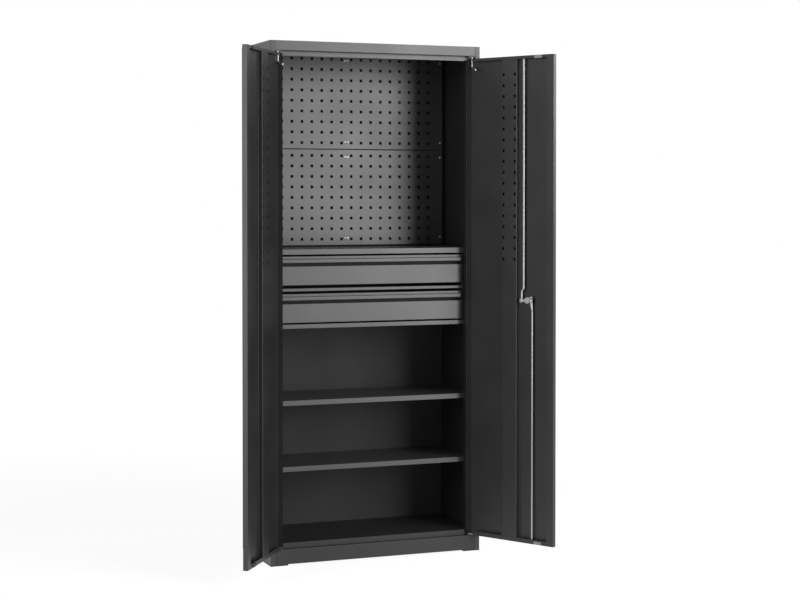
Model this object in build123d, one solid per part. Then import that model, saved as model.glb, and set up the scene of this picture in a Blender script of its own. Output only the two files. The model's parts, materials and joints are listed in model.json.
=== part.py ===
"""Tall steel storage cabinet: two doors, peg panels, two drawers and two shelves.

Millimetres, Z up, X to the right and Y into the cabinet, so that the doors face -Y.
Everything is drawn from the plane of the closed doors' faces (y = 0) and from the
cabinet's middle (x = 0). At the end it all moves forward by half the depth, which puts
the origin on the floor, under the middle of the cabinet. The doors are drawn closed and
then swung open about their hinge pins.
"""
from build123d import *
import math
import os

# Carcass
width = 780.0
depth = 345.0
height = 1800.0
sheet = 1.0
bend_radius = 1.8
base_height = 4.5
base_side = 62.0
base_rear = 60.0
front_flange = 18.0
stop_depth = 20.0
stop_width = 24.0
post_depth = 50.0
back_flange = 20.0
fascia_height = 34.0
top_stop_drop = 16.0
plinth_top = 56.0
plinth_return = 36.0
floor_top = 74.0
back_clearance = 2.0

# Doors
door_side_gap = 2.0
door_middle_gap = 3.0
door_top_gap = 10.0
door_bottom_gap = 3.0
door_thickness = 17.0
meeting_lip = 28.0
top_lip = 10.0
bottom_lip = 15.0
lip_relief = 24.0
right_door_angle = 119.1
left_door_angle = 125.5

# Hinges: spring pins at the top, stepped studs at the bottom
pivot_inset = 28.5
pivot_depth = 3.6
pin_radius = 2.5
pin_clearance = 0.05
pin_reach = 3.0
pin_drop = 31.0
pin_bend = 5.0
pin_tail = (38.0, 30.0, 10.0)
hinge_plate_thickness = 3.0
hinge_plate_setback = 0.3
stud_collar = 3.5
stud_reach = 8.0
stud_foot = (22.0, 3.0)

# Door stiffeners with peg slots
stiffener_from_edge = 156.0
stiffener_width = 64.0
stiffener_brim = 10.0
door_slot = (8.0, 10.0)
door_slot_spacing = 48.0
door_slot_first = 62.5
door_slot_rows = 18

# Door bumpers
bumper_from_edge = 50.0
bumper_length = 30.0
bumper_height = 10.0
bumper_inset = 1.0
rest_gap = 0.3

# Lock on the right door
lock_from_edge = 117.0
lock_height = 905.0
lock_arm = 20.0
lock_flange_radius = 24.0
lock_flange = 4.0
lock_flange_round = 2.0
lock_body_radius = 11.0
lock_body_depth = 8.0
spindle_radius = 5.0
spindle_square = 7.0
cam_boss_radius = 8.0
cam_eye_radius = 7.5
cam_neck = 9.5
cam_thickness = 2.0
cam_fan = ((-4.0, 9.0), (-25.0, 15.0), (-28.5, 13.0), (-28.5, -5.5), (-25.0, -8.0), (-4.0, -6.5))
cam_fan_slot = (15.0, 7.6, 2.4)
washer_radius = 6.5
washer_thickness = 1.0
nut_flats = 10.0
nut_thickness = 3.5
nut_chamfer = 0.6
stud_radius = 3.0
stud_proud = 1.5
rivet_radius = 2.95
rivet_head_radius = 5.0
rivet_head = 1.2
handle_length = 96.0
handle_width = 16.0
handle_thickness = 13.0
handle_round = 3.5
handle_standoff = 8.0
handle_neck_radius = 9.0
handle_hub_radius = 15.0
cylinder_radius = 7.5
cylinder_depth = 4.0
cylinder_proud = 0.6
key_slot = (1.6, 8.5, 2.5)

# Lock rods
rod_depth = 10.0
rod_thickness = 3.0
rod_eye_radius = 6.5
upper_rod_width = 8.0
lower_rod_width = 6.0
upper_rod_neck = 8.0
lower_rod_neck = 12.0
upper_rod_joggle = -8.0
lower_rod_joggle = -4.5
upper_rod_joggle_span = (31.0, 43.0)
lower_rod_joggle_span = (9.0, 38.0)
rod_joggle_round = 9.0
rod_end_proud = 1.0
rod_sway = 3.2
rod_play = 0.5

# Peg panels
peg_plane = 322.0
peg_top_gap = 10.0
peg_panel_height = 350.0
peg_panel_seam = 1.0
peg_panel_half = 382.0
peg_hole = 10.0
peg_pitch = 38.0
peg_columns = 18
peg_rows = 9
peg_flange = 10.0
upright_width = 20.0
upright_from_middle = 371.0
screw_head_radius = 4.0
screw_head = 2.4
screw_shank_radius = 2.0
screw_inset = 27.0
screw_pair = 5.0

# Shelves
shelf_tops = {"upper": 560.0, "lower": 331.0}
shelf_lip = 17.0
shelf_return = 12.0
shelf_side_gap = 1.0
clip_width = 15.0
clip_reach = 10.0
clip_height = 20.0
clip_sheet = 1.5
clip_inset = 30.0

# Drawer case
case_top_gap = 5.0
case_top_strip = 18.0
case_bottom_strip = 14.0
case_side_gap = 1.0
case_back_gap = 6.0
rail_height = 11.0
rail_depth = 30.0

# Drawers
drawer_front_height = 101.0
drawer_front_gap = 5.0
upper_front_gaps = (6.0, 10.0)
lower_front_gaps = (8.0, 5.0)
drawer_strip = 9.5
pocket_height = 26.0
pocket_depth = 16.0
pull_end_gap = 5.5
pull_height = 14.0
pull_reach = 8.0
pull_curl = 4.0
pull_sheet = 1.2
pull_bend = 2.5
slide_space = 13.0
tray_bottom = 6.0
tray_height = 80.0
tray_length = 254.0

# Telescopic slides
slide_length = 250.0
slide_sheet = 1.2
slide_gap = 0.3
slide_lip_gap = 2.0
slide_half_height = 22.5
slide_above_tray = 38.0

# Places that follow from the sizes above
bend_room = bend_radius - sheet
side = width / 2
wall = side - sheet
opening_half = side - front_flange
stop_half = opening_half - stop_width
fascia_bottom = height - fascia_height
inner_back = depth - 2 * sheet
door_outer = opening_half - door_side_gap
door_inner = door_middle_gap / 2
door_top = fascia_bottom - door_top_gap
door_bottom = plinth_top + door_bottom_gap
pivot_x = side - pivot_inset
lock_x = door_inner + lock_from_edge
upper_rod_x = lock_x + lock_arm + upper_rod_joggle
lower_rod_x = lock_x - lock_arm + lower_rod_joggle
cam_depth = rod_depth + rod_thickness + rest_gap
case_half = stop_half - case_side_gap
case_inner = case_half - sheet
drawer_front_half = case_half - drawer_front_gap
pull_half = drawer_front_half - pull_end_gap
tray_half = case_inner - slide_space
peg_top = height - peg_top_gap
peg_bottom = peg_top - 2 * peg_panel_height - peg_panel_seam
case_top = peg_bottom - case_top_gap
upper_front_top = case_top - case_top_strip - upper_front_gaps[0]
rail_top = upper_front_top - drawer_front_height - upper_front_gaps[1]
lower_front_top = rail_top - rail_height - lower_front_gaps[0]
case_bottom = lower_front_top - drawer_front_height - lower_front_gaps[1] - case_bottom_strip
drawer_tops = {"upper": upper_front_top, "lower": lower_front_top}
slide_start = post_depth + sheet + pocket_depth


def block(xs, ys, zs):
    """Box between two values along each axis."""
    spans = [sorted(pair) for pair in (xs, ys, zs)]
    centre = [(low + high) / 2 for low, high in spans]
    size = [high - low for low, high in spans]
    return Pos(*centre) * Box(*size)


def post(radius, x, y, zs):
    """Upright cylinder between two heights."""
    low, high = sorted(zs)
    return Pos(x, y, (low + high) / 2) * Cylinder(radius, high - low)


def spigot(radius, x, z, ys):
    """Cylinder along Y between two depths."""
    low, high = sorted(ys)
    return Pos(x, (low + high) / 2, z) * Rot(90, 0, 0) * Cylinder(radius, high - low)


def folded(points, thickness=sheet, bend=bend_radius):
    """Section of a folded sheet, whose middle line runs through the points and turns square.

    The bend is the radius outside a fold; inside it is less by the thickness.
    """
    half = thickness / 2
    strips = []
    for n, (start, end) in enumerate(zip(points, points[1:])):
        start = Vector(*start)
        end = Vector(*end)
        way = (end - start).normalized()
        if n > 0:
            start -= way * half
        if n < len(points) - 2:
            end += way * half
        middle = (start + end) / 2
        turn = math.degrees(math.atan2(way.Y, way.X))
        strip = Pos(middle.X, middle.Y) * Rot(0, 0, turn) * Rectangle((end - start).length, thickness)
        strips.append(strip)
    section = strips[0]
    for strip in strips[1:]:
        section += strip
    for before, fold, after in zip(points, points[1:], points[2:]):
        fold = Vector(*fold)
        inward = ((Vector(*after) - fold).normalized() - (fold - Vector(*before)).normalized()) * half
        for corner, radius in ((fold - inward, bend), (fold + inward, bend - thickness)):
            section = fillet(section.vertices().sort_by_distance(corner)[0], radius)
    return section


def upright(section, zs):
    """Plan section pulled up between two heights."""
    return extrude(Pos(0, 0, zs[0]) * section, zs[1] - zs[0])


def crosswise(section, xs):
    """Side section (y, z) pulled along X between two values."""
    return extrude(Plane.YZ.offset(xs[0]) * section, xs[1] - xs[0])


def lengthwise(section, ys):
    """Front section (x, z) pulled along Y between two depths."""
    plane = Plane(origin=(0, ys[1], 0), x_dir=(1, 0, 0), z_dir=(0, -1, 0))
    return extrude(plane * section, ys[1] - ys[0])


def mirrored(shape):
    """The same piece on the cabinet's other side."""
    return mirror(shape, about=Plane.YZ)


def opened(shape, sign):
    """A closed door's piece, swung open about the pin of the right (1) or left (-1) door."""
    angle = right_door_angle if sign > 0 else -left_door_angle
    pin = Pos(sign * pivot_x, pivot_depth, 0)
    return pin * Rot(0, 0, angle) * pin.inverse() * shape


def side_panel():
    """Right wall, folded at the front into the flange, the door stop and the post."""
    half = sheet / 2
    section = folded([
        (side - back_flange, depth - half),
        (side - half, depth - half),
        (side - half, half),
        (opening_half + half, half),
        (opening_half + half, stop_depth + half),
        (stop_half + half, stop_depth + half),
        (stop_half + half, post_depth),
    ])
    return upright(section, (base_height, height - sheet))


def back_panel():
    """Flat back, held in front of the side walls' flanges."""
    reach = wall - bend_room
    return block((-reach, reach), (inner_back, depth - sheet), (base_height, height - sheet))


def top_panel():
    """Cap with the fascia, the return that holds the hinge pins and the door stop."""
    cap = block((-side, side), (0, depth), (height - sheet, height))
    skirt = side - back_flange
    rear = block((-skirt, skirt), (depth - sheet, depth), (height - back_flange, height))
    half = sheet / 2
    fascia = crosswise(folded([
        (stop_depth - bend_room, fascia_bottom + half),
        (half, fascia_bottom + half),
        (half, height),
    ]), (-opening_half, opening_half))
    stop = crosswise(folded([
        (stop_depth - bend_radius, fascia_bottom + half),
        (stop_depth + half, fascia_bottom + half),
        (stop_depth + half, fascia_bottom - top_stop_drop),
    ]), (-stop_half, stop_half))
    panel = cap + rear + fascia + stop
    through = (fascia_bottom - sheet, fascia_bottom + 2 * sheet)
    for sign in (-1, 1):
        panel -= post(pin_radius + pin_clearance, sign * pivot_x, pivot_depth, through)
    return panel - rod_slot(upper_rod_x, upper_rod_width, through)


def rod_slot(x, bar_width, zs):
    """Slot for a lock rod, with room for its sway as the cam turns."""
    reach = bar_width / 2 + rod_sway + rod_play
    return block(
        (x - reach, x + reach),
        (rod_depth - rod_play, rod_depth + rod_thickness + rod_play),
        zs,
    )


def plinth():
    """Kick plate with the return that the doors turn on."""
    half = sheet / 2
    face = crosswise(folded([
        (half, base_height),
        (half, plinth_top - half),
        (stop_depth - bend_room, plinth_top - half),
    ]), (-opening_half, opening_half))
    rear = block(
        (-stop_half, stop_half),
        (stop_depth - bend_room, plinth_return),
        (plinth_top - sheet, plinth_top),
    )
    through = (plinth_top - 2 * sheet, plinth_top + sheet)
    panel = face + rear
    for sign in (-1, 1):
        panel -= post(pin_radius + pin_clearance, sign * pivot_x, pivot_depth, through)
    return panel - rod_slot(lower_rod_x, lower_rod_width, through)


def floor_tray():
    """Bottom shelf, notched round the posts, with the lip that stops the doors."""
    front = block((-stop_half, stop_half), (stop_depth, post_depth), (floor_top - sheet, floor_top))
    deck = block((-wall, wall), (post_depth, inner_back), (floor_top - sheet, floor_top))
    lip = block((-stop_half, stop_half), (stop_depth, stop_depth + sheet), (plinth_top, floor_top))
    return front + deck + lip


def base_frame():
    """Flat frame that the cabinet stands on, open at the front between its two ends."""
    reach = side - base_side
    frame = block((-side, side), (0, depth), (0, base_height))
    return frame - block((-reach, reach), (-sheet, depth - base_rear), (-sheet, base_height + sheet))


def peg_panel(top):
    """Perforated panel with its edges turned back, notched round the uprights."""
    bottom = top - peg_panel_height
    reach = peg_panel_half - sheet
    face = block((-peg_panel_half, peg_panel_half), (peg_plane, peg_plane + peg_flange), (bottom, top))
    face = fillet(face.faces().sort_by(Axis.Y)[0].edges(), bend_radius)
    behind_face = (peg_plane + sheet, peg_plane + peg_flange + sheet)
    face -= block((-reach, reach), behind_face, (bottom + sheet, top - sheet))
    for x in (-upright_from_middle, 0, upright_from_middle):
        notch = upright_width / 2 + rest_gap
        room = (max(x - notch, -reach), min(x + notch, reach))
        face -= block(room, behind_face, (bottom - sheet, top + sheet))
    middle = (top + bottom) / 2
    behind = Plane(origin=(0, peg_plane + 2 * sheet, middle), x_dir=(1, 0, 0), z_dir=(0, -1, 0))
    grid = GridLocations(peg_pitch, peg_pitch, peg_columns, peg_rows)
    face -= [extrude(behind * place * Rectangle(peg_hole, peg_hole), 3 * sheet) for place in grid]
    for x, z in screw_places(top):
        face -= spigot(screw_shank_radius, x, z, (peg_plane - sheet, peg_plane + 2 * sheet))
    return face


def screw_places(top):
    """Screws of one peg panel: one at each corner and a pair at mid width, top and bottom."""
    bottom = top - peg_panel_height
    columns = (-upright_from_middle, -screw_pair, screw_pair, upright_from_middle)
    return [(x, z) for z in (top - screw_inset, bottom + screw_inset) for x in columns]


def peg_tops():
    """Upper edges of the two peg panels."""
    return (peg_top, peg_top - peg_panel_height - peg_panel_seam)


def peg_screws():
    """Pan-head screws through the peg panels into the uprights."""
    screws = []
    for top in peg_tops():
        for x, z in screw_places(top):
            head = spigot(screw_head_radius, x, z, (peg_plane - screw_head, peg_plane))
            shank = spigot(screw_shank_radius, x, z, (peg_plane, peg_plane + 2 * sheet))
            screws.append(head + shank)
    return Compound(children=screws)


def peg_upright(x):
    """Channel that holds the peg panels off the back."""
    half = sheet / 2
    face = peg_plane + sheet + half
    reach = upright_width / 2 - half
    section = folded([
        (x - reach, inner_back),
        (x - reach, face),
        (x + reach, face),
        (x + reach, inner_back),
    ])
    channel = upright(section, (peg_bottom, peg_top))
    for top in peg_tops():
        for screw_x, z in screw_places(top):
            if abs(screw_x - x) < upright_width / 2:
                hole = (peg_plane, peg_plane + 3 * sheet)
                channel -= spigot(screw_shank_radius, screw_x, z, hole)
    return channel


def shelf(top):
    """Shelf with a folded lip all round and a return under its front lip."""
    reach = wall - shelf_side_gap
    rear = inner_back - back_clearance
    outer = block((-reach, reach), (post_depth, rear), (top - shelf_lip, top))
    hollow = block(
        (-reach + sheet, reach - sheet),
        (post_depth + sheet, rear - sheet),
        (top - shelf_lip - sheet, top - sheet),
    )
    lip = block(
        (-reach, reach),
        (post_depth, post_depth + shelf_return),
        (top - shelf_lip, top - shelf_lip + sheet),
    )
    return outer - hollow + lip


def shelf_clips():
    """Four clips on the side walls under each shelf."""
    clips = []
    for top in shelf_tops.values():
        seat = top - shelf_lip
        for start in (post_depth + clip_inset, inner_back - clip_inset - clip_width):
            ys = (start, start + clip_width)
            leg = block((wall - clip_sheet, wall), ys, (seat - clip_height, seat))
            shelf_seat = block((wall - clip_reach, wall), ys, (seat - clip_sheet, seat))
            clip = leg + shelf_seat
            clips += [clip, mirrored(clip)]
    return Compound(children=clips)


def case_deck(low, high, strip):
    """Top or bottom of the drawer case: a full-width sheet with a strip at its front."""
    deck = block((-wall, wall), (post_depth, inner_back - case_back_gap), (low, high))
    return deck + block((-wall, wall), (post_depth, post_depth + sheet), strip)


def case_side():
    """Right side of the drawer case, which carries the slides."""
    return block(
        (case_inner, case_half),
        (post_depth + sheet, inner_back - case_back_gap),
        (case_bottom + sheet, case_top - sheet),
    )


def divider_rail():
    """Channel between the drawers."""
    half = sheet / 2
    low = rail_top - rail_height
    section = folded([
        (post_depth + rail_depth, rail_top - half),
        (post_depth + half, rail_top - half),
        (post_depth + half, low + half),
        (post_depth + rail_depth, low + half),
    ])
    return crosswise(section, (-case_inner, case_inner))


def channel(web, lips, half_height, z):
    """Slide member: an upright web between two X values and lips along its top and bottom."""
    ys = (slide_start, slide_start + slide_length)
    member = block(web, ys, (z - half_height, z + half_height))
    for sign in (-1, 1):
        edge = sorted((z + sign * half_height, z + sign * (half_height - slide_sheet)))
        member += block(lips, ys, edge)
    return member


def slide_height(drawer_top):
    """Middle height of a drawer's slides."""
    return drawer_top - drawer_front_height + tray_bottom + slide_above_tray


def slide_outer(z):
    """Member fixed to the case."""
    return channel(
        (case_inner - slide_sheet, case_inner), (tray_half + slide_lip_gap, case_inner), slide_half_height, z
    )


def slide_middle(z):
    """Member that runs out half as far as the drawer."""
    web = case_inner - slide_sheet - slide_gap
    reach = slide_half_height - slide_sheet - slide_gap
    lips = (tray_half + slide_lip_gap + slide_gap, web)
    return channel((web - slide_sheet, web), lips, reach, z)


def slide_inner(z):
    """Member fixed to the drawer."""
    tip = case_inner - 2 * (slide_sheet + slide_gap) - slide_gap
    reach = slide_half_height - 2 * (slide_sheet + slide_gap)
    return channel((tray_half, tray_half + slide_sheet), (tray_half, tip), reach, z)


def drawer_front(top):
    """Folded front with a pocket for the fingers behind its pull, closed at both ends."""
    half = sheet / 2
    bottom = top - drawer_front_height
    rear = post_depth + sheet + pocket_depth
    section = folded([
        (rear, top - half),
        (post_depth + half, top - half),
        (post_depth + half, top - drawer_strip - half),
        (rear - half, top - drawer_strip - half),
        (rear - half, top - drawer_strip - pocket_height + half),
        (post_depth + half, top - drawer_strip - pocket_height + half),
        (post_depth + half, bottom + half),
        (rear, bottom + half),
    ])
    front = crosswise(section, (-drawer_front_half, drawer_front_half))
    for sign in (-1, 1):
        front += block(
            (sign * (drawer_front_half - sheet), sign * drawer_front_half),
            (post_depth, rear),
            (bottom, top),
        )
    return front


def drawer_pull(top):
    """Curled pull that stands in front of the finger pocket."""
    half = pull_sheet / 2
    edge = top - drawer_strip
    front = post_depth - pull_reach + half
    section = folded([
        (post_depth, edge - half),
        (front, edge - half),
        (front, edge - pull_height + half),
        (front + pull_curl, edge - pull_height + half),
    ], pull_sheet, pull_bend)
    return crosswise(section, (-pull_half, pull_half))


def drawer_tray(top):
    """Open box behind the front."""
    low = top - drawer_front_height + tray_bottom
    start = post_depth + sheet + pocket_depth
    end = start + tray_length
    outer = block((-tray_half, tray_half), (start, end), (low, low + tray_height))
    hollow = block(
        (-tray_half + sheet, tray_half - sheet),
        (start + sheet, end - sheet),
        (low + sheet, low + tray_height + sheet),
    )
    return outer - hollow


def door_panel(with_lock):
    """Right door as a tray of folded sheet, closed; its lips turn in on three sides."""
    panel = block((door_inner, door_outer), (0, door_thickness), (door_bottom, door_top))
    panel = fillet(panel.faces().sort_by(Axis.Y)[0].edges(), bend_radius)
    panel -= block(
        (door_inner + sheet, door_outer - sheet),
        (sheet, door_thickness - sheet),
        (door_bottom + sheet, door_top - sheet),
    )
    inner_face = (door_thickness - 2 * sheet, door_thickness + sheet)
    panel -= block(
        (door_inner + meeting_lip, door_outer - sheet),
        inner_face,
        (door_bottom + bottom_lip, door_top - top_lip),
    )
    panel -= block(
        (door_outer - lip_relief, door_outer - sheet),
        inner_face,
        (door_bottom + sheet, door_top - sheet),
    )
    pin_hole = pin_radius + pin_clearance
    top_return = (door_top - 2 * sheet, door_top + sheet)
    bottom_return = (door_bottom - sheet, door_bottom + 2 * sheet)
    panel -= post(pin_hole, pivot_x, pivot_depth, top_return)
    panel -= post(pin_hole, pivot_x, pivot_depth, bottom_return)
    if with_lock:
        panel -= rod_slot(upper_rod_x, upper_rod_width, top_return)
        panel -= rod_slot(lower_rod_x, lower_rod_width, bottom_return)
        panel -= spigot(lock_body_radius, lock_x, lock_height, (-sheet, 2 * sheet))
    return panel


def door_stiffener():
    """Hat channel up the door's inside, slotted for pegs along its upper part."""
    half = sheet / 2
    near = door_inner + stiffener_from_edge
    far = near + stiffener_width
    face = door_thickness - sheet - half
    section = folded([
        (near - stiffener_brim, sheet + half),
        (near + half, sheet + half),
        (near + half, face),
        (far - half, face),
        (far - half, sheet + half),
        (far + stiffener_brim, sheet + half),
    ])
    hat = upright(section, (door_bottom + sheet, door_top - sheet))
    middle = (near + far) / 2
    first = door_top - door_slot_first
    across, tall = door_slot
    for row in range(door_slot_rows):
        z = first - row * peg_pitch
        for sign in (-1, 1):
            x = middle + sign * door_slot_spacing / 2
            hat -= block(
                (x - across / 2, x + across / 2),
                (face - sheet, face + sheet),
                (z - tall / 2, z + tall / 2),
            )
    return hat


def top_pin():
    """Bent wire pin: up through the hinge plate, with a tail to draw it down by."""
    along, inward, down = pin_tail
    low = door_top - pin_drop
    path = FilletPolyline(
        (pivot_x, pivot_depth, fascia_bottom + sheet + pin_reach),
        (pivot_x, pivot_depth, low),
        (pivot_x - along, pivot_depth + inward, low - down),
        radius=pin_bend,
    )
    return sweep(Plane(origin=path @ 0, z_dir=path % 0) * Circle(pin_radius), path=path)


def bottom_pin():
    """Stepped stud on a foot inside the door's lower corner."""
    foot_span, foot_thickness = stud_foot
    base = door_bottom + sheet
    plate = block(
        (door_outer - sheet - foot_span, door_outer - sheet),
        (sheet, door_thickness),
        (base, base + foot_thickness),
    )
    shank = post(pin_radius, pivot_x, pivot_depth, (plinth_top - stud_reach, base))
    collar = post(stud_collar, pivot_x, pivot_depth, (plinth_top + rest_gap, door_bottom))
    return plate + shank + collar


def hinge_plate():
    """Plate under the fascia's return, which the top pin turns in."""
    low = fascia_bottom - hinge_plate_thickness
    ys = (hinge_plate_setback, stop_depth - bend_room)
    plate = block((stop_half, opening_half), ys, (low, fascia_bottom))
    through = (low - sheet, fascia_bottom + sheet)
    return plate - post(pin_radius + pin_clearance, pivot_x, pivot_depth, through)


def door_bumpers():
    """Pads near the meeting edge that meet the stops."""
    start = door_inner + bumper_from_edge
    pads = []
    for low in (door_bottom + bumper_inset, door_top - bumper_inset - bumper_height):
        pads.append(block(
            (start, start + bumper_length),
            (door_thickness, stop_depth - rest_gap),
            (low, low + bumper_height),
        ))
    return Compound(children=pads)


def lock_housing():
    """Round flange on the door's face and the body that guides the spindle."""
    flange = spigot(lock_flange_radius, lock_x, lock_height, (-lock_flange, 0))
    flange = fillet(flange.faces().sort_by(Axis.Y)[0].edges(), lock_flange_round)
    body = spigot(lock_body_radius, lock_x, lock_height, (0, lock_body_depth))
    bore = spigot(
        spindle_radius + pin_clearance, lock_x, lock_height, (-2 * lock_flange, 2 * lock_body_depth)
    )
    return flange + body - bore


def lock_spindle():
    """Shaft from the handle to the cam, squared at its end, with the washer and nut that hold the cam."""
    cam_back = cam_depth + cam_thickness
    shaft = spigot(
        spindle_radius, lock_x, lock_height, (-lock_flange - handle_standoff, cam_depth)
    )
    reach = spindle_square / 2
    square = block(
        (lock_x - reach, lock_x + reach),
        (cam_depth, cam_back),
        (lock_height - reach, lock_height + reach),
    )
    nut_seat = cam_back + washer_thickness
    nut_back = nut_seat + nut_thickness
    washer = spigot(washer_radius, lock_x, lock_height, (cam_back, nut_seat))
    hexagon = RegularPolygon(nut_flats / 2, 6, major_radius=False)
    nut = Pos(lock_x, nut_back, lock_height) * extrude(Plane.XZ * hexagon, nut_thickness)
    nut = chamfer(nut.faces().sort_by(Axis.Y)[-1].edges(), nut_chamfer)
    stud = spigot(stud_radius, lock_x, lock_height, (nut_back, nut_back + stud_proud))
    return shaft + square + washer + nut + stud


def lock_cam():
    """Plate with an eye for the upper rod and a slotted fan for the lower one, and their rivets."""
    eye = Pos(lock_arm, 0) * Circle(cam_eye_radius)
    neck = Pos(lock_arm / 2, 0) * Rectangle(lock_arm, cam_neck)
    fan = make_face(Polyline(*cam_fan, close=True))
    slot_start, slot_height, slot_width = cam_fan_slot
    fan_end = max(-x for x, _ in cam_fan)
    slot_length = fan_end - slot_start + sheet
    slot = Pos(-slot_start - slot_length / 2, slot_height) * Rectangle(slot_length, slot_width)
    section = Circle(cam_boss_radius) + eye + neck + fan - slot
    plate = lengthwise(Pos(lock_x, lock_height) * section, (cam_depth, cam_depth + cam_thickness))
    reach = spindle_square / 2
    plate -= block(
        (lock_x - reach, lock_x + reach),
        (cam_depth - sheet, cam_depth + cam_thickness + sheet),
        (lock_height - reach, lock_height + reach),
    )
    back = cam_depth + cam_thickness
    front = rod_depth - rest_gap
    for sign in (-1, 1):
        x = lock_x + sign * lock_arm
        plate += spigot(rivet_radius, x, lock_height, (front, back))
        plate += spigot(rivet_head_radius, x, lock_height, (front - rivet_head, front))
        plate += spigot(rivet_head_radius, x, lock_height, (back, back + rivet_head))
    return plate


def handle_face():
    """Outermost plane of the handle."""
    return -lock_flange - handle_standoff - handle_thickness


def turn_handle():
    """Bar handle with a hub for the key cylinder, on the spindle's outer end."""
    inner = -lock_flange - rest_gap
    outer = -lock_flange - handle_standoff
    neck = spigot(handle_neck_radius, lock_x, lock_height, (outer, inner))
    bar = SlotOverall(handle_length, handle_width) + Circle(handle_hub_radius)
    grip = lengthwise(Pos(lock_x, lock_height) * bar, (handle_face(), outer))
    grip = fillet(grip.faces().sort_by(Axis.Y)[0].edges(), handle_round)
    socket = spigot(spindle_radius, lock_x, lock_height, (outer, inner))
    seat = spigot(cylinder_radius, lock_x, lock_height, (handle_face(), handle_face() + cylinder_depth))
    return grip + (neck - socket) - seat


def key_cylinder():
    """Face of the key cylinder, set in the handle's hub."""
    face = handle_face() - cylinder_proud
    barrel = spigot(cylinder_radius, lock_x, lock_height, (face, handle_face() + cylinder_depth))
    across, tall, deep = key_slot
    return barrel - block(
        (lock_x - across / 2, lock_x + across / 2),
        (face, face + deep),
        (lock_height - tall / 2, lock_height + tall / 2),
    )


def lock_rod(x, joggle, span, neck, bar_width, end):
    """Flat rod with an eye on the cam's rivet; its neck joggles sideways into the straight bar."""
    up = math.copysign(1, end - lock_height)
    half = bar_width / 2
    start, stop = (lock_height + up * reach for reach in span)
    left = [(x - neck / 2, lock_height), (x - neck / 2, start), (x + joggle - half, stop)]
    right = [(x + joggle + half, stop), (x + neck / 2, start), (x + neck / 2, lock_height)]
    ends = [(x + joggle - half, end), (x + joggle + half, end)]
    section = make_face(Polyline(*left, *ends, *right, close=True))
    for corner in (left[1], left[2], right[0], right[1]):
        nearest = section.vertices().sort_by_distance(Vector(*corner))[0]
        section = fillet(nearest, rod_joggle_round)
    section += Pos(x, lock_height) * Circle(rod_eye_radius)
    section -= Pos(x, lock_height) * Circle(rivet_radius + pin_clearance)
    return lengthwise(section, (rod_depth, rod_depth + rod_thickness))


def upper_rod():
    """Rod that shoots up into the fascia's return."""
    end = door_top + rod_end_proud
    return lock_rod(
        lock_x + lock_arm, upper_rod_joggle, upper_rod_joggle_span, upper_rod_neck, upper_rod_width, end
    )


def lower_rod():
    """Rod that shoots down into the plinth's return."""
    end = door_bottom - rod_end_proud
    return lock_rod(
        lock_x - lock_arm, lower_rod_joggle, lower_rod_joggle_span, lower_rod_neck, lower_rod_width, end
    )


def carcass():
    """Base frame, walls, top, floor and plinth."""
    pieces = {
        "base_frame": base_frame(),
        "side_panel_right": side_panel(),
        "side_panel_left": mirrored(side_panel()),
        "back_panel": back_panel(),
        "top_panel": top_panel(),
        "plinth": plinth(),
        "floor_tray": floor_tray(),
        "hinge_plate_right": hinge_plate(),
        "hinge_plate_left": mirrored(hinge_plate()),
    }
    return pieces


def storage():
    """Peg panels on their uprights, and the shelves on their clips."""
    upper, lower = peg_tops()
    pieces = {
        "peg_panel_upper": peg_panel(upper),
        "peg_panel_lower": peg_panel(lower),
        "peg_upright_left": peg_upright(-upright_from_middle),
        "peg_upright_middle": peg_upright(0),
        "peg_upright_right": peg_upright(upright_from_middle),
        "peg_panel_screws": peg_screws(),
        "shelf_clips": shelf_clips(),
    }
    for name, top in shelf_tops.items():
        pieces[f"shelf_{name}"] = shelf(top)
    return pieces


def drawer_unit():
    """Case, divider rail, drawers and their slides."""
    pieces = {
        "case_top": case_deck(case_top - sheet, case_top, (case_top - case_top_strip, case_top)),
        "case_bottom": case_deck(
            case_bottom, case_bottom + sheet, (case_bottom, case_bottom + case_bottom_strip)
        ),
        "case_side_right": case_side(),
        "case_side_left": mirrored(case_side()),
        "case_divider_rail": divider_rail(),
    }
    for name, top in drawer_tops.items():
        z = slide_height(top)
        pieces[f"{name}_drawer_front"] = drawer_front(top)
        pieces[f"{name}_drawer_pull"] = drawer_pull(top)
        pieces[f"{name}_drawer_tray"] = drawer_tray(top)
        for member, make in (("outer", slide_outer), ("middle", slide_middle), ("inner", slide_inner)):
            pieces[f"{name}_slide_{member}_right"] = make(z)
            pieces[f"{name}_slide_{member}_left"] = mirrored(make(z))
    return pieces


def doors():
    """Both doors with all that they carry, swung open."""
    shared = {"stiffener": door_stiffener, "top_pin": top_pin, "bottom_pin": bottom_pin}
    shared["bumpers"] = door_bumpers
    pieces = {
        "right_door_panel": opened(door_panel(with_lock=True), 1),
        "left_door_panel": opened(mirrored(door_panel(with_lock=False)), -1),
        "lock_housing": opened(lock_housing(), 1),
        "lock_spindle": opened(lock_spindle(), 1),
        "lock_cam": opened(lock_cam(), 1),
        "turn_handle": opened(turn_handle(), 1),
        "key_cylinder": opened(key_cylinder(), 1),
        "upper_rod": opened(upper_rod(), 1),
        "lower_rod": opened(lower_rod(), 1),
    }
    for name, make in shared.items():
        pieces[f"right_door_{name}"] = opened(make(), 1)
        pieces[f"left_door_{name}"] = opened(mirrored(make()), -1)
    return pieces


def main():
    """Build every piece and write it to its own file."""
    os.makedirs("parts", exist_ok=True)
    for pieces in (carcass(), storage(), drawer_unit(), doors()):
        for name, piece in pieces.items():
            export_step(Pos(0, -depth / 2, 0) * piece, f"parts/{name}.step")


if __name__ == "__main__":
    main()
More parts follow.
